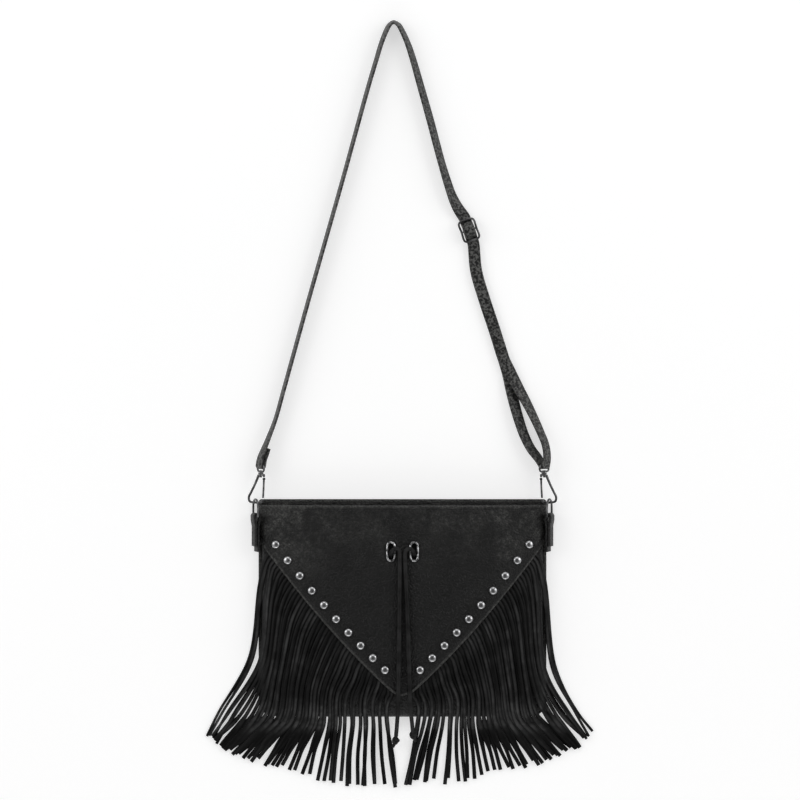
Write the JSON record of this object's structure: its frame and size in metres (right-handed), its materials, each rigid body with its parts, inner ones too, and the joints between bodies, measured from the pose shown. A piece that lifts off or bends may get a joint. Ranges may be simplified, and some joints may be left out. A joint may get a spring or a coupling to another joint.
{
  "type": "shoulder bag",
  "caption": "Flat black leather crossbody bag lying on its back: V-shaped front panel edged with dome studs, long cut fringe, eyelets with a knotted lace, zip top, strap on clip hooks",
  "frame": {"origin": "middle of the back panel's outer face, which lies on the floor", "axes": "+Z points out of the bag's front, +Y from the bag's bottom to the top of the strap, +X to the right of someone who looks at the front"},
  "size_m": [0.3544, 0.7086, 0.032],
  "materials": {
    "leather": "black pebbled leather with a soft sheen",
    "strap_leather": "black fine-grained leather band",
    "fringe_leather": "black soft matt leather, cut into strips",
    "cloth": "black woven cloth",
    "dark_metal": "dark gunmetal",
    "silver_metal": "bright silver plating"
  },
  "bodies": {
    "bag": {"back_panel": "leather", "front_panel": "leather", "lining": "cloth", "v_panel": "leather", "fringe_left": "fringe_leather", "fringe_right": "fringe_leather", "stud_left_1": "silver_metal", "stud_left_2": "silver_metal", "stud_left_3": "silver_metal", "stud_left_4": "silver_metal", "stud_left_5": "silver_metal", "stud_left_6": "silver_metal", "stud_left_7": "silver_metal", "stud_left_8": "silver_metal", "stud_left_9": "silver_metal", "stud_left_10": "silver_metal", "stud_right_1": "silver_metal", "stud_right_2": "silver_metal", "stud_right_3": "silver_metal", "stud_right_4": "silver_metal", "stud_right_5": "silver_metal", "stud_right_6": "silver_metal", "stud_right_7": "silver_metal", "stud_right_8": "silver_metal", "stud_right_9": "silver_metal", "stud_right_10": "silver_metal", "eyelet_left": "dark_metal", "eyelet_right": "dark_metal", "lace_left": "fringe_leather", "lace_right": "fringe_leather", "lace_knot_left": "fringe_leather", "lace_knot_right": "fringe_leather", "side_tab_left": "leather", "side_tab_right": "leather", "swivel_eye_left": "silver_metal", "swivel_eye_right": "silver_metal", "strap": "strap_leather", "strap_slider": "silver_metal", "zip_tape_front": "cloth", "zip_tape_back": "cloth", "zip_teeth_front": "dark_metal", "zip_teeth_back": "dark_metal", "zip_stop_closed": "silver_metal", "zip_stop_open": "silver_metal"},
    "zip_slider_body": {"zip_slider": "silver_metal"},
    "zip_pull_body": {"zip_pull": "silver_metal"},
    "ring_left_body": {"ring_left": "silver_metal"},
    "ring_right_body": {"ring_right": "silver_metal"},
    "hook_left_body": {"hook_left": "silver_metal"},
    "hook_right_body": {"hook_right": "silver_metal"},
    "gate_left_body": {"hook_gate_left": "silver_metal"},
    "gate_right_body": {"hook_gate_right": "silver_metal"}
  },
  "joints": [
    {"name": "zip_slide", "type": "slide", "parent": "bag", "child": "zip_slider_body", "axis": [1, 0, 0], "range_m": [-0.176, 0]},
    {"name": "zip_pull_swing", "type": "hinge", "parent": "zip_slider_body", "child": "zip_pull_body", "pos_m": [0.088, 0.08996, 0.0062], "axis": [0, 0, -1], "range_deg": [0, 175]},
    {"name": "ring_left_swing", "type": "hinge", "parent": "bag", "child": "ring_left_body", "pos_m": [-0.1353, 0.0852, 0.0087], "axis": [-0.342, 0, -0.9397], "range_deg": [-5, 8]},
    {"name": "ring_right_swing", "type": "hinge", "parent": "bag", "child": "ring_right_body", "pos_m": [0.1353, 0.0852, 0.0087], "axis": [-0.342, 0, 0.9397], "range_deg": [-5, 8]},
    {"name": "hook_left_swivel", "type": "hinge", "parent": "bag", "child": "hook_left_body", "pos_m": [-0.1305, 0.123, 0.0087], "axis": [0, -1, 0], "range_deg": [-20, 10]},
    {"name": "hook_right_swivel", "type": "hinge", "parent": "bag", "child": "hook_right_body", "pos_m": [0.1305, 0.123, 0.0087], "axis": [0, 1, 0], "range_deg": [-20, 10]},
    {"name": "gate_left_open", "type": "hinge", "parent": "hook_left_body", "child": "gate_left_body", "pos_m": [-0.1276, 0.1196, 0.0087], "axis": [0, 0, -1], "range_deg": [0, 22], "stiffness_Nm_per_rad": 0.002, "springref_deg": -11.46},
    {"name": "gate_right_open", "type": "hinge", "parent": "hook_right_body", "child": "gate_right_body", "pos_m": [0.1276, 0.1196, 0.0087], "axis": [0, 0, 1], "range_deg": [0, 22], "stiffness_Nm_per_rad": 0.002, "springref_deg": -11.46}
  ]
}
